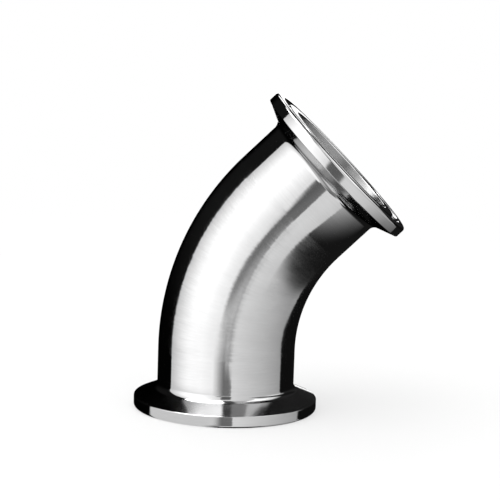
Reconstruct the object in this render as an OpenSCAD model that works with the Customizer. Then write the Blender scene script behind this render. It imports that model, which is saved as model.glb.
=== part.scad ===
// Sanitary clamp elbow: a plain tube bend with a clamp ferrule welded on each
// end. The lower sealing face lies on z = 0 with its centre at the origin, the
// lower leg stands along +Z, and the bend turns the flow towards +X.

/* [Tube] */
// Outside diameter of the tube and of the ferrule necks welded to it
tube_od = 38.1; // [33:0.1:42]
// Wall thickness of the tube and of the ferrule necks
wall_t = 1.65; // [1.2:0.05:2.5]
// Radius of the bend, measured to the centre line of the tube
bend_r = 57.15; // [45:0.05:120]
// Angle through which the bend turns
bend_a = 45; // [20:1:90]

/* [Ferrules] */
// Length of the lower ferrule, from its sealing face to its weld
lower_l = 16.6; // [10:0.1:40]
// Length of the upper ferrule, from its sealing face to its weld
upper_l = 18.8; // [10:0.1:40]
// Outside diameter of the clamp flange
flange_d = 51; // [45:0.1:60]
// Width of the flange's cylindrical rim
rim_w = 3.15; // [2:0.05:4]
// Slope of the flange's clamped back, measured from the sealing plane
back_a = 23; // [10:1:32]
// Radius of the hollow between the flange's back and the neck
root_r = 2.2; // [0.8:0.1:3.5]
// Radius of the rim's edge on the sealing side
face_edge_r = 0.85; // [0.1:0.05:1.2]
// Radius of the rim's edge on the clamped side
back_edge_r = 0.3; // [0.1:0.05:0.6]
// Radius of the bore's mouth at the sealing face
mouth_r = 0.4; // [0.1:0.05:0.9]

/* [Sealing face] */
// Share of the face's flat width taken by the land inside the gasket groove
inner_land = 0.4; // [0.2:0.01:0.5]
// Share of the face's flat width taken by the land outside the gasket groove
outer_land = 0.25; // [0.1:0.01:0.3]
// Slope at which the groove's arc leaves the face
groove_a = 70; // [45:1:80]
// Radius of the groove's two lips
lip_r = 0.2; // [0.05:0.05:0.3]

/* [Hidden] */
$fn = 128;

tube_r = tube_od / 2;
bore_r = tube_r - wall_t;
flange_r = flange_d / 2;

// Middle of the bend's upper end
bend_end = [bend_r * (1 - cos(bend_a)), 0, lower_l + bend_r * sin(bend_a)];

// Rounded edge between rim and back: length it takes from each side
back_trim = back_edge_r * tan((90 - back_a) / 2);
back_dir = [-cos(back_a), sin(back_a)];
back_corner = [flange_r, rim_w];

// Root hollow: its centre, and where it runs out on the back and on the neck
back_normal = [sin(back_a), cos(back_a)];
root_x = tube_r + root_r;
root_y = rim_w + (flange_r - root_x) * tan(back_a) + root_r / cos(back_a);
root_centre = [root_x, root_y];
root_on_back = root_centre - root_r * back_normal;
root_on_neck = [tube_r, root_y];

// Groove: one arc between the edges that the two lands leave it
face_w = flange_r - face_edge_r - bore_r - mouth_r;
groove_in_r = bore_r + mouth_r + inner_land * face_w;
groove_out_r = flange_r - face_edge_r - outer_land * face_w;
groove_arc_r = (groove_out_r - groove_in_r) / 2 / sin(groove_a);
groove_centre = [(groove_in_r + groove_out_r) / 2, -groove_arc_r * cos(groove_a)];

// Lips: arcs inside the metal that touch the face and the groove's arc
lip_dy = lip_r - groove_centre[1];
lip_dx = sqrt(pow(groove_arc_r + lip_r, 2) - pow(lip_dy, 2));
function lip_centre(side) = groove_centre + [side * lip_dx, lip_dy];
function lip_on_arc(side) =
    groove_centre + (lip_centre(side) - groove_centre) * groove_arc_r / (groove_arc_r + lip_r);

// Outline of a ferrule's wall, with straight cuts where its edges are round
module wall_outline(length) {
    polygon([
        [bore_r, mouth_r],
        [bore_r + mouth_r, 0],
        [flange_r - face_edge_r, 0],
        [flange_r, face_edge_r],
        back_corner - [0, back_trim],
        back_corner + back_trim * back_dir,
        root_on_back,
        root_centre,
        root_on_neck,
        [tube_r, length],
        [bore_r, length]
    ]);
}

// Round edges of the mouth, the rim and the groove's lips
module edge_arcs() {
    translate([bore_r + mouth_r, mouth_r]) circle(r = mouth_r);
    translate([flange_r - face_edge_r, face_edge_r]) circle(r = face_edge_r);
    translate(back_corner - [back_edge_r, back_trim]) circle(r = back_edge_r);
    for (side = [-1, 1]) translate(lip_centre(side)) circle(r = lip_r);
}

// Space of the gasket groove, widened at the face for the lips
module groove_space() {
    translate(groove_centre) circle(r = groove_arc_r);
    for (side = [-1, 1]) {
        polygon([
            groove_centre,
            [lip_centre(side)[0], groove_centre[1]],
            lip_centre(side),
            lip_on_arc(side)
        ]);
    }
}

// Wall of a ferrule, cut along the axis: radius to the right, height upwards
module ferrule_section(length) {
    difference() {
        wall_outline(length);
        translate(root_centre) circle(r = root_r);
        groove_space();
    }
    edge_arcs();
}

// Ferrule with its sealing face on z = 0 and its neck upwards
module ferrule(length) {
    rotate_extrude() ferrule_section(length);
}

// Cross-section of the tube, set off from the axis that the bend turns about
module tube_section() {
    translate([bend_r, 0]) difference() {
        circle(r = tube_r);
        circle(r = bore_r);
    }
}

module elbow_tube() {
    color("silver") translate([bend_r, 0, lower_l]) rotate([90, 0, 180]) {
        rotate_extrude(angle = bend_a) tube_section();
    }
}

module lower_ferrule() {
    color("lightgray") ferrule(lower_l);
}

module upper_ferrule() {
    color("lightgray") translate(bend_end) rotate([0, bend_a, 0]) {
        translate([0, 0, upper_l]) mirror([0, 0, 1]) ferrule(upper_l);
    }
}

elbow_tube();
lower_ferrule();
upper_ferrule();
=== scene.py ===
"""Dressed model of a sanitary clamp elbow: a bent tube with a clamp ferrule welded on each end."""

import math

import bpy
from mathutils import Matrix


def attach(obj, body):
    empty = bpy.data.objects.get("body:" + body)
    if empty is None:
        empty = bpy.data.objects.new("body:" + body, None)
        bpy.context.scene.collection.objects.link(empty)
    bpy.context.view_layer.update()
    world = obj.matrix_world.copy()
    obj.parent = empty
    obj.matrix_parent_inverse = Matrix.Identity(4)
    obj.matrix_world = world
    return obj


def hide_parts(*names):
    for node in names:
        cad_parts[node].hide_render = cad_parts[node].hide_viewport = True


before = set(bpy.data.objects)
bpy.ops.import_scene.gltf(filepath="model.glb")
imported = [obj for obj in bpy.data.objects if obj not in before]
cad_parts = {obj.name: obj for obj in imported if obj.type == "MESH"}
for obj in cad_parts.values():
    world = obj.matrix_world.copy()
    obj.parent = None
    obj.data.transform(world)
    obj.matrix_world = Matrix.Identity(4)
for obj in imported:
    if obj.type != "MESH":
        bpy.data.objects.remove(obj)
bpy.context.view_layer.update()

bl_info = {
    "name": "Sanitary Clamp Elbow",
    "version": (1, 0, 0),
    "blender": (4, 5, 0),
    "location": "3D View > Sidebar > Clamp Elbow",
    "description": "Models a polished clamp elbow and the studio it is shown in",
    "category": "Object",
}

# A micrometre, in metres
MICROMETRE = 0.000001
# Distance within which doubled points are merged
MERGE = 0.000002
# Distance past the bore's radius up to which a point still counts as in the bore
BORE_SLACK = 0.00001
# UV map that the polish follows
TURNING_MAP = "turning"
# Socket type of the groups' numbers
FLOAT = "NodeSocketFloat"
# Roughness that a ferrule's turned back has over the rest of it
BACK_ROUGHNESS = 0.04
# Shares of the steel's colour left on the turned back, as painted shade for the hollow under the
# flange, and in the darker marks of the grain
BACK_SHADE_SHARE = 0.56
GRAIN_SHARE = 0.93
# Elevation in degrees at which the studio's ceiling meets its walls
CEILING_EDGE = 57.0
# The camera: its place in metres, its angles in radians and its lens in millimetres
CAMERA_PLACE = (0.031279, -0.440274, 0.107062)
CAMERA_TURN = 0.058096
CAMERA_DIP = 0.141083
CAMERA_ROLL = 0.032851
CAMERA_LENS = 116.027


class ElbowSizes(bpy.types.PropertyGroup):
    """Sizes of the bent tube and of the two ferrules."""

    tube_diameter: bpy.props.FloatProperty(
        name="Tube Diameter",
        description="Outside diameter of the tube and of the ferrule necks",
        default=0.0381,
        unit="LENGTH",
    )
    wall: bpy.props.FloatProperty(
        name="Wall",
        description="Wall thickness of the tube and of the ferrule necks",
        default=0.00165,
        unit="LENGTH",
    )
    bend_radius: bpy.props.FloatProperty(
        name="Bend Radius",
        description="Radius of the bend at the tube's centre line",
        default=0.05715,
        unit="LENGTH",
    )
    bend_angle: bpy.props.FloatProperty(
        name="Bend Angle",
        description="Angle through which the bend turns",
        default=math.radians(45),
        subtype="ANGLE",
    )
    lower_length: bpy.props.FloatProperty(
        name="Lower Length",
        description="Length of the lower ferrule from sealing face to weld",
        default=0.0166,
        unit="LENGTH",
    )
    upper_length: bpy.props.FloatProperty(
        name="Upper Length",
        description="Length of the upper ferrule from sealing face to weld",
        default=0.0188,
        unit="LENGTH",
    )
    flange_diameter: bpy.props.FloatProperty(
        name="Flange Diameter",
        description="Outside diameter of the clamp flange",
        default=0.051,
        unit="LENGTH",
    )
    rim_width: bpy.props.FloatProperty(
        name="Rim Width",
        description="Width of the flange's cylindrical rim",
        default=0.00315,
        unit="LENGTH",
    )
    back_slope: bpy.props.FloatProperty(
        name="Back Slope",
        description="Slope of the flange's clamped back",
        default=math.radians(23),
        subtype="ANGLE",
    )
    root_radius: bpy.props.FloatProperty(
        name="Root Radius",
        description="Radius of the hollow between back and neck",
        default=0.0022,
        unit="LENGTH",
    )
    face_edge: bpy.props.FloatProperty(
        name="Face Edge",
        description="Radius of the rim's edge on the sealing side",
        default=0.00085,
        unit="LENGTH",
    )
    back_edge: bpy.props.FloatProperty(
        name="Back Edge",
        description="Radius of the rim's edge on the clamped side",
        default=0.0003,
        unit="LENGTH",
    )
    mouth: bpy.props.FloatProperty(
        name="Mouth",
        description="Radius of the bore's mouth at the sealing face",
        default=0.0004,
        unit="LENGTH",
    )
    inner_land: bpy.props.FloatProperty(
        name="Inner Land",
        description="Share of the face's flat width taken by the land inside the groove",
        default=0.4,
        subtype="FACTOR",
    )
    outer_land: bpy.props.FloatProperty(
        name="Outer Land",
        description="Share of the face's flat width taken by the land outside the groove",
        default=0.25,
        subtype="FACTOR",
    )
    groove_slope: bpy.props.FloatProperty(
        name="Groove Slope",
        description="Slope at which the groove's arc leaves the face",
        default=math.radians(70),
        subtype="ANGLE",
    )
    lip: bpy.props.FloatProperty(
        name="Lip",
        description="Radius of the groove's two lips",
        default=0.0002,
        unit="LENGTH",
    )
    turns: bpy.props.IntProperty(
        name="Steps Round",
        description="Steps round the tube and round each ferrule",
        default=192,
    )


class SteelFinish(bpy.types.PropertyGroup):
    """Colour and polish of the stainless steel."""

    steel: bpy.props.FloatVectorProperty(
        name="Steel",
        description="Colour of the polished steel",
        default=(0.72, 0.72, 0.722),
        subtype="COLOR",
        size=3,
    )
    # Painted shade: the bore's colour is darker than the steel's, to stand for the shade inside the
    # tube
    bore: bpy.props.FloatVectorProperty(
        name="Bore",
        description="Colour of the steel inside the bore",
        default=(0.42, 0.42, 0.421),
        subtype="COLOR",
        size=3,
    )
    tube_roughness: bpy.props.FloatProperty(
        name="Tube Roughness",
        description="Roughness of the polished tube",
        default=0.1,
        subtype="FACTOR",
    )
    ferrule_roughness: bpy.props.FloatProperty(
        name="Ferrule Roughness",
        description="Roughness of the turned ferrules",
        default=0.05,
        subtype="FACTOR",
    )
    bore_roughness: bpy.props.FloatProperty(
        name="Bore Roughness",
        description="Roughness of the steel inside the bore",
        default=0.25,
        subtype="FACTOR",
    )
    hair_depth: bpy.props.FloatProperty(
        name="Hair Depth",
        description="Depth of the polishing hairlines, in thousandths of a millimetre",
        default=1.2,
    )


class StudioLight(bpy.types.PropertyGroup):
    """Levels of the studio that the steel mirrors."""

    left_level: bpy.props.FloatProperty(
        name="Left Panel", description="Level of the large panel on the left", default=1.42
    )
    right_level: bpy.props.FloatProperty(
        name="Right Panel", description="Level of the panel on the right", default=0.88
    )
    dark_level: bpy.props.FloatProperty(
        name="Flags", description="Level of the black flags at the sides", default=0.006
    )
    slit_level: bpy.props.FloatProperty(
        name="Slit", description="Level of the gap round the camera", default=0.19
    )
    ceiling_level: bpy.props.FloatProperty(
        name="Ceiling", description="Level of the ceiling's left half", default=3.3
    )
    # Painted shadow: the table card's level is below the panel's, for the elbow's shadow on the
    # table as the steel mirrors it
    shaded_table_level: bpy.props.FloatProperty(
        name="Table", description="Level of the table in front on the left", default=0.78
    )
    high_level: bpy.props.FloatProperty(
        name="High Card", description="Level of the card high on the right", default=1.5
    )
    floor: bpy.props.FloatVectorProperty(
        name="Floor",
        description="Colour of the pale floor",
        default=(0.985, 0.985, 0.985),
        subtype="COLOR",
        size=3,
    )


# Outline of a ferrule, as (radius, height) pairs with the sealing face at height 0


def arc(centre, radius, start, end, steps):
    """Points of an arc from angle start to angle end, both ends with it."""
    points = []
    for step in range(steps + 1):
        angle = start + (end - start) * step / steps
        points.append((centre[0] + radius * math.cos(angle), centre[1] + radius * math.sin(angle)))
    return points


def ferrule_outline(sizes, length):
    """Closed outline of a ferrule's wall, from the bore's mouth round to the bore again."""
    tube = sizes.tube_diameter / 2
    bore = tube - sizes.wall
    flange = sizes.flange_diameter / 2
    quarter = math.pi / 2
    slope = sizes.back_slope

    flat = flange - sizes.face_edge - bore - sizes.mouth
    groove_in = bore + sizes.mouth + sizes.inner_land * flat
    groove_out = flange - sizes.face_edge - sizes.outer_land * flat
    groove_radius = (groove_out - groove_in) / 2 / math.sin(sizes.groove_slope)
    groove_height = -groove_radius * math.cos(sizes.groove_slope)
    groove_middle = (groove_in + groove_out) / 2
    lip_rise = sizes.lip - groove_height
    lip_reach = math.sqrt((groove_radius + sizes.lip) ** 2 - lip_rise**2)
    lip_angle = math.atan2(lip_rise, lip_reach)

    edge_trim = sizes.back_edge * math.tan((quarter - slope) / 2)
    root_x = tube + sizes.root_radius
    root_y = (
        sizes.rim_width
        + (flange - root_x) * math.tan(slope)
        + sizes.root_radius / math.cos(slope)
    )

    points = arc((bore + sizes.mouth, sizes.mouth), sizes.mouth, 2 * quarter, 3 * quarter, 8)
    points += arc(
        (groove_middle - lip_reach, sizes.lip), sizes.lip, 3 * quarter, 4 * quarter - lip_angle, 6
    )
    points += arc(
        (groove_middle, groove_height), groove_radius, 2 * quarter - lip_angle, lip_angle, 36
    )[1:-1]
    points += arc(
        (groove_middle + lip_reach, sizes.lip), sizes.lip, 2 * quarter + lip_angle, 3 * quarter, 6
    )
    points += arc(
        (flange - sizes.face_edge, sizes.face_edge), sizes.face_edge, 3 * quarter, 4 * quarter, 8
    )
    points += arc(
        (flange - sizes.back_edge, sizes.rim_width - edge_trim),
        sizes.back_edge,
        0,
        quarter - slope,
        6,
    )
    points += arc(
        (root_x, root_y), sizes.root_radius, 3 * quarter - slope, 2 * quarter, 16
    )
    points += [(tube, length), (bore, length)]
    return points


# Modelling helpers


def deselect_all():
    """Leaves nothing selected, in object mode."""
    if bpy.context.mode != "OBJECT":
        bpy.ops.object.mode_set(mode="OBJECT")
    bpy.ops.object.select_all(action="DESELECT")


def select_only(piece):
    """Leaves the piece selected and active, in object mode."""
    deselect_all()
    piece.select_set(True)
    bpy.context.view_layer.objects.active = piece


def apply_place(piece, place):
    """Puts the piece at its place and applies that place to the mesh."""
    select_only(piece)
    piece.matrix_world = place
    bpy.ops.object.transform_apply(location=True, rotation=True, scale=True)


def smooth_piece(piece):
    """Smooth shading with its normals held by the large faces."""
    select_only(piece)
    bpy.ops.object.shade_smooth_by_angle(angle=math.radians(35))
    modifier = piece.modifiers.new("Even Normals", "WEIGHTED_NORMAL")
    modifier.weight = 80
    modifier.keep_sharp = True
    bpy.ops.object.modifier_apply(modifier=modifier.name)


def lay_turning_map(piece, along, round_angle):
    """UV map for the polish: U follows the outline in metres, V goes once round."""
    mesh = piece.data
    layer = mesh.uv_layers.new(name=TURNING_MAP)
    total = max(along)
    # Length of the side that closes a ferrule's outline, down the bore: the mean of the two
    closing = 0.0173
    for face in mesh.polygons:
        corners = [(i, mesh.loops[i].vertex_index) for i in face.loop_indices]
        lengths = [along[v] for _, v in corners]
        angles = [round_angle[v] for _, v in corners]
        past_end = max(lengths) - min(lengths) > total / 2
        past_seam = max(angles) - min(angles) > math.pi
        for (i, _), length, angle in zip(corners, lengths, angles):
            if past_end and length < total / 2:
                length += total + closing
            if past_seam and angle < 0:
                angle += 2 * math.pi
            layer.data[i].uv = (length, angle / (2 * math.pi))


def stand_for(piece, node):
    """The piece is shown in place of the CAD node of the same part."""
    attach(piece, "root")
    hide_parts(node)


def spun_ferrule(name, sizes, length):
    """A ferrule on its sealing face, made by turning its outline round the axis."""
    outline = ferrule_outline(sizes, length)
    deselect_all()
    start = outline[0]
    bpy.ops.mesh.primitive_plane_add(size=0.0002, location=(start[0], 0, start[1]))
    piece = bpy.context.active_object
    piece.name = name
    piece.data.name = name
    apply_place(piece, piece.matrix_world.copy())
    bpy.ops.object.mode_set(mode="EDIT")
    bpy.ops.mesh.select_mode(type="VERT")
    bpy.ops.mesh.select_all(action="SELECT")
    bpy.ops.mesh.merge(type="CENTER")
    for here, there in zip(outline, outline[1:] + outline[:1]):
        step = (there[0] - here[0], 0, there[1] - here[1])
        bpy.ops.mesh.extrude_region_move(TRANSFORM_OT_translate={"value": step})
    bpy.ops.mesh.select_all(action="SELECT")
    bpy.ops.mesh.remove_doubles(threshold=MERGE)
    bpy.ops.mesh.select_all(action="SELECT")
    bpy.ops.mesh.spin(
        steps=sizes.turns, angle=2 * math.pi, center=(0, 0, 0), axis=(0, 0, 1)
    )
    bpy.ops.mesh.select_all(action="SELECT")
    bpy.ops.mesh.remove_doubles(threshold=MERGE)
    bpy.ops.mesh.normals_make_consistent(inside=False)
    bpy.ops.object.mode_set(mode="OBJECT")

    lengths = [0.0]
    for here, there in zip(outline, outline[1:]):
        lengths.append(lengths[-1] + math.dist(here, there))
    along = []
    angles = []
    for vertex in piece.data.vertices:
        x, y, z = vertex.co
        place = (math.hypot(x, y), z)
        nearest = min(range(len(outline)), key=lambda i: math.dist(outline[i], place))
        along.append(lengths[nearest])
        angles.append(math.atan2(x, -y))
    lay_turning_map(piece, along, angles)
    return piece


def mark_bore(piece, is_bore):
    """Gives the faces inside the bore the second material."""
    for face in piece.data.polygons:
        points = [piece.data.vertices[v].co for v in face.vertices]
        if all(is_bore(point) for point in points):
            face.material_index = 1


# Node helpers


def new_group(name, inputs, outputs):
    """Shader node group with its inputs given as (name, type, default) and outputs as names."""
    tree = bpy.data.node_groups.new(name, "ShaderNodeTree")
    for label, kind, value in inputs:
        socket = tree.interface.new_socket(name=label, in_out="INPUT", socket_type=kind)
        if value is not None:
            socket.default_value = value
    for label in outputs:
        tree.interface.new_socket(name=label, in_out="OUTPUT", socket_type=FLOAT)
    source = tree.nodes.new("NodeGroupInput")
    sink = tree.nodes.new("NodeGroupOutput")
    return tree, source, sink


def place_group(tree, group, values):
    """Node of a group with its inputs set or linked."""
    node = tree.nodes.new("ShaderNodeGroup")
    node.node_tree = group
    for label, value in values.items():
        put(tree, node.inputs[label], value)
    return node


def put(tree, socket, value):
    """Links an output to the socket, or sets the socket's own value."""
    if isinstance(value, bpy.types.NodeSocket):
        tree.links.new(value, socket)
    else:
        socket.default_value = value


def maths(tree, operation, first, second=None):
    """Output of a math node."""
    node = tree.nodes.new("ShaderNodeMath")
    node.operation = operation
    put(tree, node.inputs[0], first)
    if second is not None:
        put(tree, node.inputs[1], second)
    return node.outputs[0]


def multiply(tree, first, *others):
    """Product of two or more values."""
    for other in others:
        first = maths(tree, "MULTIPLY", first, other)
    return first


def add(tree, first, second):
    """Sum of two values."""
    return maths(tree, "ADD", first, second)


def subtract(tree, first, second):
    """First value less the second."""
    return maths(tree, "SUBTRACT", first, second)


def vector_maths(tree, operation, first, second=None, scale=None):
    """Vector output of a vector math node."""
    node = tree.nodes.new("ShaderNodeVectorMath")
    node.operation = operation
    put(tree, node.inputs[0], first)
    if second is not None:
        put(tree, node.inputs[1], second)
    if scale is not None:
        put(tree, node.inputs["Scale"], scale)
    return node.outputs["Vector"]


def mix_values(tree, kind, factor, first, second):
    """Mix of two values of a kind: the first at factor 0, the second at factor 1."""
    node = tree.nodes.new("ShaderNodeMix")
    node.data_type = kind
    for label, value in (("Factor", factor), ("A", first), ("B", second)):
        put(tree, node.inputs[label], value)
    return node.outputs["Result"]


def mix_shaders(tree, factor, first, second):
    """Mix of two shaders, linked to the material's output."""
    mix = tree.nodes.new("ShaderNodeMixShader")
    tree.links.new(factor, mix.inputs[0])
    tree.links.new(first, mix.inputs[1])
    tree.links.new(second, mix.inputs[2])
    output = tree.nodes.new("ShaderNodeOutputMaterial")
    tree.links.new(mix.outputs[0], output.inputs[0])


def ramp(tree, value, start, end, low=0.0, high=1.0, smooth=True):
    """Map Range from start..end to low..high, clamped."""
    node = tree.nodes.new("ShaderNodeMapRange")
    node.interpolation_type = "SMOOTHSTEP" if smooth else "LINEAR"
    for label, setting in (
        ("Value", value),
        ("From Min", start),
        ("From Max", end),
        ("To Min", low),
        ("To Max", high),
    ):
        put(tree, node.inputs[label], setting)
    return node.outputs[0]


def window(tree, value, start, rise, end, fall):
    """1 between start and end, with a rise and a fall of the given widths round them."""
    first = ramp(tree, subtract(tree, value, start), -rise / 2, rise / 2)
    last = ramp(tree, subtract(tree, value, end), -fall / 2, fall / 2, 1.0, 0.0)
    return multiply(tree, first, last)


def noise(tree, vector, detail, roughness):
    """Noise texture's grey output."""
    node = tree.nodes.new("ShaderNodeTexNoise")
    put(tree, node.inputs["Vector"], vector)
    node.inputs["Scale"].default_value = 1.0
    node.inputs["Detail"].default_value = detail
    node.inputs["Roughness"].default_value = roughness
    return node.outputs["Fac"]


# Steel


def polish_group():
    """Polish that follows the turning: hairlines round the piece, soft ripples and smears."""
    tree, source, sink = new_group(
        "Turned Polish",
        [
            ("Map", "NodeSocketVector", None),
            ("Hair Pitch", FLOAT, 0.3),
            ("Hair Reach", FLOAT, 3.0),
            ("Hair Depth", FLOAT, 1.0),
            ("Ripple Pitch", FLOAT, 9.0),
            ("Ripple Depth", FLOAT, 4.0),
            ("Dull Shaded From", FLOAT, -2.0),
            ("Dull Shaded To", FLOAT, -1.0),
        ],
        ["Height", "Dullness", "Shade", "Lean", "Turned Back And Painted Shade"],
    )
    get = source.outputs
    split = tree.nodes.new("ShaderNodeSeparateXYZ")
    tree.links.new(get["Map"], split.inputs[0])
    turn = multiply(tree, split.outputs["Y"], 2 * math.pi)
    across = maths(tree, "COSINE", turn)
    up = maths(tree, "SINE", turn)
    millimetres = multiply(tree, split.outputs["X"], 1000.0)

    def field(reach, pitch, shift):
        """Noise position: reach sets how far a mark runs round, pitch how fine it lies."""
        join = tree.nodes.new("ShaderNodeCombineXYZ")
        tree.links.new(multiply(tree, across, reach), join.inputs[0])
        tree.links.new(multiply(tree, up, reach), join.inputs[1])
        lined = maths(tree, "DIVIDE", millimetres, pitch)
        tree.links.new(add(tree, lined, shift), join.inputs[2])
        return join.outputs[0]

    hairs = noise(tree, field(get["Hair Reach"], get["Hair Pitch"], 0.0), 3.0, 0.6)
    ripple = noise(tree, field(1.3, get["Ripple Pitch"], 40.0), 1.0, 0.4)
    smear = noise(tree, field(2.2, 4.0, 90.0), 3.0, 0.55)
    streak = noise(tree, field(get["Hair Reach"], 0.45, 170.0), 4.0, 0.65)
    fine = multiply(tree, hairs, get["Hair Depth"])
    broad = multiply(tree, ripple, get["Ripple Depth"])
    dull = add(tree, multiply(tree, smear, 0.6), multiply(tree, hairs, 0.4))
    tone = add(tree, multiply(tree, smear, 0.5), multiply(tree, streak, 0.5))
    for label, value in (
        ("Height", add(tree, fine, broad)),
        ("Dullness", dull),
        ("Shade", ramp(tree, tone, 0.32, 0.68)),
        ("Lean", subtract(tree, streak, 0.5)),
        # The turned back's band: rougher, and darkened as painted shade for the hollow under the
        # flange
        ("Turned Back And Painted Shade", window(tree, millimetres, get["Dull Shaded From"], 0.4, get["Dull Shaded To"], 0.4)),
    ):
        tree.links.new(value, sink.inputs[label])
    return tree


def steel_material(
    name, polish, colour, settings, roughness, spread, anisotropy, lean=0.0, tip=0.0
):
    """Polished steel: grain from the turning map, blurred along the piece and sharp round it.

    Spread is what smears add to the roughness. Lean tips the surface round the piece at each
    hairline, and tip leans all of it along the turning map's U.
    """
    material = bpy.data.materials.new(name)
    material.use_nodes = True
    tree = material.node_tree
    shader = tree.nodes["Principled BSDF"]
    shader.inputs["Metallic"].default_value = 1.0
    shader.inputs["Anisotropic"].default_value = anisotropy
    lines = tree.nodes.new("ShaderNodeUVMap")
    lines.uv_map = TURNING_MAP
    grain = place_group(tree, polish, {"Map": lines.outputs[0], **settings}).outputs
    rough = ramp(tree, grain["Dullness"], 0.3, 0.7, roughness, roughness + spread)
    rough = add(tree, rough, multiply(tree, grain["Turned Back And Painted Shade"], BACK_ROUGHNESS))
    tree.links.new(rough, shader.inputs["Roughness"])

    tangent_node = tree.nodes.new("ShaderNodeTangent")
    tangent_node.direction_type = "UV_MAP"
    tangent_node.uv_map = TURNING_MAP
    tangent = tangent_node.outputs[0]
    tree.links.new(tangent, shader.inputs["Tangent"])

    # Each hairline leans the surface a little to its side, round the piece
    normal = tree.nodes.new("ShaderNodeNewGeometry").outputs["Normal"]
    round_it = vector_maths(tree, "CROSS_PRODUCT", normal, tangent)
    aside = vector_maths(tree, "SCALE", round_it, scale=multiply(tree, grain["Lean"], lean))
    along = vector_maths(tree, "SCALE", tangent, scale=tip)
    leaned = vector_maths(tree, "ADD", normal, vector_maths(tree, "ADD", aside, along))
    bump = tree.nodes.new("ShaderNodeBump")
    bump.inputs["Strength"].default_value = 1.0
    bump.inputs["Distance"].default_value = MICROMETRE
    tree.links.new(grain["Height"], bump.inputs["Height"])
    tree.links.new(leaned, bump.inputs["Normal"])
    tree.links.new(bump.outputs[0], shader.inputs["Normal"])

    def darker(share):
        """Share of the steel's colour, with full alpha."""
        return (*(part * share for part in colour), 1)

    tint = mix_values(tree, "RGBA", grain["Shade"], (*colour, 1), darker(GRAIN_SHARE))
    # Painted shade: the turned back, in the hollow under the flange, gets a darker share of the
    # steel's colour
    shade = mix_values(tree, "RGBA", grain["Turned Back And Painted Shade"], tint, darker(BACK_SHADE_SHARE))
    tree.links.new(shade, shader.inputs["Base Color"])


def steels():
    """The three finishes, made once: tube, ferrule and bore; the ferrule's turned back and the bore
    carry painted shade.
    """
    if "Turned Polish" not in bpy.data.node_groups:
        polish = polish_group()
        finish = bpy.context.scene.steel_finish
        depth = finish.hair_depth
        steel_material(
            "tube steel",
            polish,
            finish.steel,
            {"Hair Depth": depth, "Ripple Depth": 5.0},
            roughness=finish.tube_roughness,
            spread=0.05,
            anisotropy=0.75,
            lean=0.08,
        )
        turned = {
            "Hair Depth": depth * 0.25,
            "Hair Pitch": 0.22,
            "Ripple Depth": 0.3,
            # The turned back, 12 to 17.6 mm along the outline: rougher, with painted shade in its
            # colour
            "Dull Shaded From": 12.0,
            "Dull Shaded To": 17.6,
        }
        steel_material(
            "ferrule steel",
            polish,
            finish.steel,
            turned,
            roughness=finish.ferrule_roughness,
            spread=0.04,
            anisotropy=0.7,
            lean=0.03,
        )
        # The bore's roughness is its duller finish; its darker colour is painted shade for the
        # inside of the tube
        steel_material(
            "shaded bore steel",
            polish,
            finish.bore,
            {"Hair Depth": depth * 0.2, "Ripple Depth": 1.0},
            roughness=finish.bore_roughness,
            spread=0.05,
            anisotropy=0.95,
            tip=0.16,
        )
    return [bpy.data.materials[name] for name in ("tube steel", "ferrule steel", "shaded bore steel")]


class ELBOW_OT_bend_tube(bpy.types.Operator):
    """Model the bent tube between the two welds"""

    bl_idname = "elbow.bend_tube"
    bl_label = "Bend Tube"
    bl_options = {"REGISTER", "UNDO"}

    def execute(self, context):
        sizes = context.scene.elbow_sizes
        radius = sizes.tube_diameter / 2
        bore = radius - sizes.wall
        start = (0, 0, sizes.lower_length)
        centre = (sizes.bend_radius, 0, sizes.lower_length)
        deselect_all()
        bpy.ops.mesh.primitive_circle_add(vertices=sizes.turns, radius=radius, location=start)
        piece = context.active_object
        piece.name = "bent_tube"
        piece.data.name = "bent_tube"
        apply_place(piece, piece.matrix_world.copy())
        bpy.ops.object.mode_set(mode="EDIT")
        bpy.ops.mesh.primitive_circle_add(vertices=sizes.turns, radius=bore, location=start)
        bpy.ops.mesh.select_all(action="SELECT")
        bpy.ops.mesh.bridge_edge_loops()
        bpy.ops.mesh.select_all(action="SELECT")
        bpy.ops.mesh.spin(steps=96, angle=-sizes.bend_angle, center=centre, axis=(0, 1, 0))
        bpy.ops.mesh.select_all(action="SELECT")
        bpy.ops.mesh.normals_make_consistent(inside=False)
        bpy.ops.object.mode_set(mode="OBJECT")

        along = []
        angles = []
        for vertex in piece.data.vertices:
            turned, out, side = self.bend_place(vertex.co, sizes)
            along.append(sizes.bend_radius * turned + math.hypot(out, side))
            angles.append(math.atan2(-out, -side))
        lay_turning_map(piece, along, angles)
        tube, _, inside = steels()
        piece.data.materials.append(tube)
        piece.data.materials.append(inside)

        def is_bore(point):
            _, out, side = self.bend_place(point, sizes)
            return math.hypot(out, side) < bore + sizes.wall * 0.25

        mark_bore(piece, is_bore)
        smooth_piece(piece)
        stand_for(piece, "elbow_tube")
        return {"FINISHED"}

    def bend_place(self, point, sizes):
        """Angle along the bend, distance out from its centre line, and distance to the side."""
        reach = sizes.bend_radius - point.x
        rise = point.z - sizes.lower_length
        return math.atan2(rise, reach), math.hypot(reach, rise) - sizes.bend_radius, point.y


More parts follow.
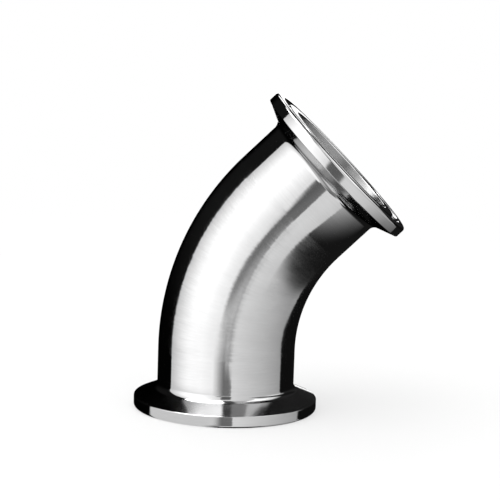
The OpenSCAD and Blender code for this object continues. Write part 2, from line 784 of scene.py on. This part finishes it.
class ELBOW_OT_turn_ferrules(bpy.types.Operator):
    """Turn the two clamp ferrules and set them against the welds"""

    bl_idname = "elbow.turn_ferrules"
    bl_label = "Turn Ferrules"
    bl_options = {"REGISTER", "UNDO"}

    def execute(self, context):
        sizes = context.scene.elbow_sizes
        bend = sizes.bend_angle
        end = (
            sizes.bend_radius * (1 - math.cos(bend)),
            0,
            sizes.lower_length + sizes.bend_radius * math.sin(bend),
        )
        turned_over = Matrix.Rotation(math.pi, 4, "X")
        lifted = Matrix.Translation((0, 0, sizes.upper_length))
        leaned = Matrix.Translation(end) @ Matrix.Rotation(bend, 4, "Y")
        self.ferrule(sizes, "lower_clamp_ferrule", sizes.lower_length, Matrix(), "lower_ferrule")
        self.ferrule(
            sizes,
            "upper_clamp_ferrule",
            sizes.upper_length,
            leaned @ lifted @ turned_over,
            "upper_ferrule",
        )
        return {"FINISHED"}

    def ferrule(self, sizes, name, length, place, node):
        """One ferrule with its finish, at its place."""
        bore = sizes.tube_diameter / 2 - sizes.wall
        piece = spun_ferrule(name, sizes, length)
        _, turned, inside = steels()
        piece.data.materials.append(turned)
        piece.data.materials.append(inside)
        mark_bore(piece, lambda point: math.hypot(point.x, point.y) < bore + BORE_SLACK)
        smooth_piece(piece)
        apply_place(piece, place)
        stand_for(piece, node)


# Studio


def panel_group():
    """Lit panel of the studio, drawn by the direction in which the steel looks, in degrees."""
    tree, source, sink = new_group(
        "Studio Panel",
        [
            ("Azimuth", FLOAT, 0.0),
            ("Elevation", FLOAT, 0.0),
            ("From", FLOAT, -90.0),
            ("To", FLOAT, 90.0),
            ("Bottom", FLOAT, -90.0),
            ("Top", FLOAT, 90.0),
            ("From Blur", FLOAT, 2.0),
            ("To Blur", FLOAT, 2.0),
            ("End Blur", FLOAT, 2.0),
            ("Level", FLOAT, 1.0),
        ],
        ["Light"],
    )
    get = source.outputs

    def edge(distance, blur):
        """Soft edge: 1 inside, 0 outside, half way at distance 0."""
        half = multiply(tree, blur, 0.5)
        return ramp(tree, distance, multiply(tree, half, -1.0), half)

    light = multiply(
        tree,
        get["Level"],
        edge(subtract(tree, get["Azimuth"], get["From"]), get["From Blur"]),
        edge(subtract(tree, get["To"], get["Azimuth"]), get["To Blur"]),
        edge(subtract(tree, get["Elevation"], get["Bottom"]), get["End Blur"]),
        edge(subtract(tree, get["Top"], get["Elevation"]), get["End Blur"]),
    )
    tree.links.new(light, sink.inputs["Light"])
    return tree


def looked_at(tree):
    """Azimuth and elevation in degrees of the direction looked in, and its part along X."""
    coordinates = tree.nodes.new("ShaderNodeTexCoord")
    split = tree.nodes.new("ShaderNodeSeparateXYZ")
    tree.links.new(coordinates.outputs["Generated"], split.inputs[0])
    across = split.outputs["X"]
    away = multiply(tree, split.outputs["Y"], -1.0)
    degrees = 180 / math.pi
    azimuth = multiply(tree, maths(tree, "ARCTAN2", across, away), degrees)
    elevation = multiply(tree, maths(tree, "ARCSINE", split.outputs["Z"]), degrees)
    return azimuth, elevation, across


def front_panels(tree, light, azimuth, elevation):
    """The two large panels, which meet in the gap where the camera stands."""
    # Left panel: brightest in the middle, darker towards its far end, the gap and low down
    towards_gap = ramp(tree, elevation, -12.0, 10.0, 0.8, 0.58)
    left_level = multiply(
        tree,
        ramp(tree, azimuth, -104.0, -55.0, light.left_level * 0.52, light.left_level),
        ramp(tree, elevation, -15.0, 15.0, 0.98, 1.12),
        ramp(tree, elevation, -21.0, -15.5, 0.48, 1.0),
        ramp(tree, elevation, -45.0, -28.0, 0.4, 1.0),
        ramp(tree, azimuth, -38.0, -5.0, 1.0, towards_gap, smooth=False),
    )
    # Right panel: fades away from the camera, and its far edge runs outwards low down
    near, far = light.right_level, light.right_level * 0.5
    right_level = ramp(tree, azimuth, 20.0, 105.0, near, far, smooth=False)
    right_end = add(
        tree,
        ramp(tree, elevation, -32.0, -19.0, 125.0, 108.0),
        ramp(tree, elevation, -39.0, -31.0, 20.0, 0.0),
    )
    left = {"From": -99.7, "To": -5.0, "From Blur": 1.5, "To Blur": 12.0, "Level": left_level}
    right = {"From": -5.0, "To": right_end, "From Blur": 12.0, "To Blur": 4.0, "Level": right_level}
    height = {"Bottom": -65.0, "Top": CEILING_EDGE}
    return [{**left, **height}, {**right, **height}]


def ceiling_panel(tree, light, azimuth, across):
    """Ceiling: white on the left, grey on the right, with a dark seam between."""
    left = multiply(
        tree,
        ramp(tree, across, -0.06, 0.02, light.ceiling_level, 0.06),
        ramp(tree, azimuth, -168.0, -106.0),
        ramp(tree, azimuth, -105.0, -40.0, 1.8, 1.0),
    )
    level = add(tree, left, ramp(tree, across, 0.14, 0.22, 0.0, 0.45))
    return {"From": -200.0, "To": 200.0, "Bottom": CEILING_EDGE, "Top": 100.0, "Level": level}


def dark_sides(tree, light, azimuth, elevation, across):
    """Black flags, with a little light high on the right and far round on the left."""
    far_left = multiply(
        tree,
        ramp(tree, azimuth, -158.0, -140.0, 0.05, 1.0),
        ramp(tree, elevation, -8.0, 20.0, 0.15, 1.5),
    )
    far_right = ramp(tree, elevation, -8.0, 8.0, 1.0, 4.0)
    side = ramp(tree, across, -0.1, 0.1)
    return multiply(tree, mix_values(tree, "FLOAT", side, far_left, far_right), light.dark_level)


def studio_world(light):
    """White to the camera, plain light to the floor, and lit panels with dark gaps to the steel."""
    world = bpy.data.worlds.new("studio")
    bpy.context.scene.world = world
    world.use_nodes = True
    world.cycles.sampling_method = "NONE"
    tree = world.node_tree
    tree.nodes.clear()

    azimuth, elevation, across = looked_at(tree)
    # The panels far behind the elbow lie on both sides of 180 degrees
    whole_turn = maths(tree, "FLOORED_MODULO", azimuth, 360.0)
    high_right = {
        "From": 78.0,
        "To": 116.0,
        "From Blur": 20.0,
        "To Blur": 10.0,
        "Bottom": 5.0,
        "Top": 70.0,
        "End Blur": 6.0,
        "Level": 0.5,
    }
    low_behind = {
        "From": 176.2,
        "To": 188.5,
        "From Blur": 1.5,
        "Bottom": -6.5,
        "Top": 9.0,
        "Level": 1.5,
    }
    high_behind = {"From": 171.0, "To": 190.0, "Bottom": 24.0, "Top": CEILING_EDGE, "Level": 1.7}
    panels = [(azimuth, values) for values in front_panels(tree, light, azimuth, elevation)]
    panels += [
        (azimuth, ceiling_panel(tree, light, azimuth, across)),
        (azimuth, high_right),
        (whole_turn, low_behind),
        (whole_turn, high_behind),
    ]
    group = panel_group()
    total = dark_sides(tree, light, azimuth, elevation, across)
    for turned, values in panels:
        node = place_group(tree, group, {"Azimuth": turned, "Elevation": elevation, **values})
        total = add(tree, node.outputs[0], total)

    path = tree.nodes.new("ShaderNodeLightPath").outputs
    mirrored = maths(tree, "MAXIMUM", path["Is Glossy Ray"], path["Is Transmission Ray"])
    background = tree.nodes.new("ShaderNodeBackground")
    background.inputs["Color"].default_value = (1, 1, 1, 1)
    strength = mix_values(tree, "FLOAT", mirrored, 1.0, total)
    tree.links.new(strength, background.inputs["Strength"])
    output = tree.nodes.new("ShaderNodeOutputWorld")
    tree.links.new(background.outputs[0], output.inputs[0])


def new_shader_tree(name):
    """Material with an empty node tree, and its Object coordinates."""
    material = bpy.data.materials.new(name)
    material.use_nodes = True
    tree = material.node_tree
    tree.nodes.clear()
    coordinates = tree.nodes.new("ShaderNodeTexCoord")
    return material, tree, coordinates.outputs["Object"]


def card_material(name, build):
    """Card that changes what the steel mirrors; build gives its mask and its level."""
    material, tree, place = new_shader_tree(name)
    split = tree.nodes.new("ShaderNodeSeparateXYZ")
    tree.links.new(place, split.inputs[0])
    millimetres = [multiply(tree, split.outputs[axis], 1000.0) for axis in "XYZ"]
    clear = tree.nodes.new("ShaderNodeBsdfTransparent")
    glow = tree.nodes.new("ShaderNodeEmission")
    glow.inputs["Color"].default_value = (1, 1, 1, 1)
    mask, level = build(tree, *millimetres)
    put(tree, glow.inputs["Strength"], level)
    mix_shaders(tree, mask, clear.outputs[0], glow.outputs[0])
    return material


def add_card(name, xs, ys, zs, build):
    """Flat card between the given places on each axis, seen by the steel alone."""
    deselect_all()
    bpy.ops.mesh.primitive_plane_add(size=2.0)
    card = bpy.context.active_object
    card.name = name
    corners = [(x, y, z) for z in zs for y in ys for x in xs]
    for vertex, corner in zip(card.data.vertices, corners):
        vertex.co = corner
    card.data.materials.append(card_material(name.replace("_", " "), build))
    card.visible_camera = False
    card.visible_diffuse = False
    card.visible_shadow = False
    card.visible_transmission = False


class ELBOW_OT_set_studio(bpy.types.Operator):
    """Set the floor, the mirrored studio, the lamps and the camera"""

    bl_idname = "elbow.set_studio"
    bl_label = "Set Studio"
    bl_options = {"REGISTER", "UNDO"}

    def execute(self, context):
        light = context.scene.studio_light
        studio_world(light)
        self.floor(light)
        self.front_gap(light)
        self.mirrored_bend_shade()
        self.shaded_table_card(light)
        self.high_card(light)
        self.lamp()
        self.camera(context)
        context.scene.view_settings.view_transform = "Standard"
        return {"FINISHED"}

    def floor(self, light):
        """Round pale floor that thins out to the white around it."""
        deselect_all()
        bpy.ops.mesh.primitive_circle_add(vertices=96, radius=0.9, fill_type="NGON")
        floor = bpy.context.active_object
        floor.name = "floor"
        material, tree, place = new_shader_tree("pale floor")
        length = tree.nodes.new("ShaderNodeVectorMath")
        length.operation = "LENGTH"
        tree.links.new(place, length.inputs[0])
        matt = tree.nodes.new("ShaderNodeBsdfDiffuse")
        matt.inputs["Color"].default_value = (*light.floor, 1)
        clear = tree.nodes.new("ShaderNodeBsdfTransparent")
        thinness = ramp(tree, length.outputs["Value"], 0.05, 0.5, 0.45, 1.0)
        mix_shaders(tree, thinness, matt.outputs[0], clear.outputs[0])
        floor.data.materials.append(material)
        floor.visible_glossy = False

    def front_gap(self, light):
        """Dark gap between the front panels, where the camera stands."""

        def build(tree, x, y, z):
            # Band: its left edge swings out low down, and its lower edge drops to the right
            left = add(
                tree,
                ramp(tree, z, 20.0, 34.0, -42.0, -6.0),
                ramp(tree, z, 45.0, 72.0, 0.0, -8.0),
            )
            rise = ramp(tree, z, 10.0, 45.0, 16.0, 8.0)
            from_left = subtract(tree, x, left)
            to_right = subtract(tree, ramp(tree, z, -20.0, 8.0, 46.0, 60.0), x)
            height = add(tree, z, ramp(tree, x, 8.0, 55.0, 0.0, 12.0))
            band = multiply(
                tree,
                ramp(tree, from_left, multiply(tree, rise, -1.0), rise),
                ramp(tree, to_right, -8.0, 8.0),
                window(tree, height, -9.5, 12.5, 220.0, 40.0),
            )
            # Foot: a dark field below, fading out to the left
            top = add(tree, z, ramp(tree, x, 5.0, 18.0, -4.5, 1.0))
            to_end = subtract(tree, ramp(tree, z, -46.0, -34.0, 60.0, 36.0), x)
            foot = multiply(
                tree,
                ramp(tree, x, -75.0, 5.0, smooth=False),
                ramp(tree, to_end, -5.0, 5.0),
                ramp(tree, top, -35.5, -30.0, 1.0, 0.0),
            )
            level = ramp(tree, z, 10.0, 50.0, light.slit_level, light.slit_level * 0.75)
            return maths(tree, "MAXIMUM", band, foot), level

        add_card("front_gap", (-0.25, 0.3), (-0.25,), (-0.2, 0.25), build)

    def mirrored_bend_shade(self):
        """Dark sheet low on the right, under the inside of the bend, seen by the steel alone: a
        painted reflection of shade.
        """

        def build(tree, x, y, z):
            slant = subtract(tree, x, multiply(tree, y, 0.25))
            mask = multiply(
                tree,
                ramp(tree, x, 38.6, 42.2),
                ramp(tree, slant, 53.0, 90.0, 1.0, 0.0),
                window(tree, y, -51.0, 5.0, 70.0, 20.0),
            )
            level = 0.01
            return mask, level

        add_card("mirrored_bend_shade", (0.03, 0.12), (-0.07, 0.09), (0.02,), build)

    def shaded_table_card(self, light):
        """Table round the lower flange as the steel mirrors it, greyer than the panel above it: a
        painted reflection of the elbow's shadow on the table.
        """

        def build(tree, x, y, z):
            reach = maths(tree, "SQRT", add(tree, multiply(tree, x, x), multiply(tree, y, y)))
            # Its far edge is a line turned 13 degrees from the X axis
            slant = add(tree, multiply(tree, x, 0.225), multiply(tree, y, 0.974))
            mask = multiply(
                tree,
                ramp(tree, reach, 42.0, 60.0, 1.0, 0.0),
                ramp(tree, slant, -21.6, -20.2, 1.0, 0.0),
                ramp(tree, x, -5.0, 1.0, 1.0, 0.0),
            )
            return mask, light.shaded_table_level

        add_card("shaded_table_card", (-0.07, 0.0), (-0.07, 0.03), (-0.0005,), build)

    def high_card(self, light):
        """Bright card high on the right, for the near edge of the upper flange."""

        def build(tree, x, y, z):
            mask = multiply(
                tree,
                ramp(tree, z, 95.0, 110.0),
                ramp(tree, y, -14.0, 2.0, 1.0, 0.0),
            )
            return mask, light.high_level

        add_card("high_card", (0.15,), (-0.1, 0.01), (0.09, 0.35), build)

    def lamp(self):
        """Soft overhead lamp for the floor's shadow."""
        deselect_all()
        bpy.ops.object.light_add(type="AREA", location=(-0.5, -0.4, 1.2))
        lamp = bpy.context.active_object
        lamp.name = "overhead_lamp"
        lamp.data.shape = "DISK"
        lamp.data.size = 1.0
        lamp.data.energy = 2.0
        lamp.rotation_euler = (math.radians(18), math.radians(-22), 0)
        lamp.visible_glossy = False

    def camera(self, context):
        """Camera at the photograph's viewing angle."""
        data = bpy.data.cameras.new("camera")
        data.lens = CAMERA_LENS
        data.sensor_width = 36.0
        data.clip_start = 0.01
        camera = bpy.data.objects.new("camera", data)
        context.scene.collection.objects.link(camera)
        turned = Matrix.Rotation(CAMERA_TURN, 4, "Z")
        tipped = Matrix.Rotation(math.pi / 2 - CAMERA_DIP, 4, "X")
        rolled = Matrix.Rotation(CAMERA_ROLL, 4, "Z")
        camera.matrix_world = Matrix.Translation(CAMERA_PLACE) @ turned @ tipped @ rolled
        context.scene.camera = camera


class ELBOW_PT_tools(bpy.types.Panel):
    """Sidebar panel with the elbow's sizes, finish and steps"""

    bl_idname = "ELBOW_PT_tools"
    bl_label = "Clamp Elbow"
    bl_space_type = "VIEW_3D"
    bl_region_type = "UI"
    bl_category = "Clamp Elbow"

    def draw(self, context):
        layout = self.layout
        for group in ("elbow_sizes", "steel_finish", "studio_light"):
            settings = getattr(context.scene, group)
            box = layout.box()
            for name in settings.__annotations__:
                box.prop(settings, name)
        layout.operator("elbow.bend_tube")
        layout.operator("elbow.turn_ferrules")
        layout.operator("elbow.set_studio")


CLASSES = (
    ElbowSizes,
    SteelFinish,
    StudioLight,
    ELBOW_OT_bend_tube,
    ELBOW_OT_turn_ferrules,
    ELBOW_OT_set_studio,
    ELBOW_PT_tools,
)


def register():
    for cls in CLASSES:
        bpy.utils.register_class(cls)
    bpy.types.Scene.elbow_sizes = bpy.props.PointerProperty(type=ElbowSizes)
    bpy.types.Scene.steel_finish = bpy.props.PointerProperty(type=SteelFinish)
    bpy.types.Scene.studio_light = bpy.props.PointerProperty(type=StudioLight)


def unregister():
    del bpy.types.Scene.studio_light
    del bpy.types.Scene.steel_finish
    del bpy.types.Scene.elbow_sizes
    for cls in reversed(CLASSES):
        bpy.utils.unregister_class(cls)


def main():
    register()
    bpy.ops.elbow.bend_tube()
    bpy.ops.elbow.turn_ferrules()
    bpy.ops.elbow.set_studio()


if __name__ == "__main__":
    main()
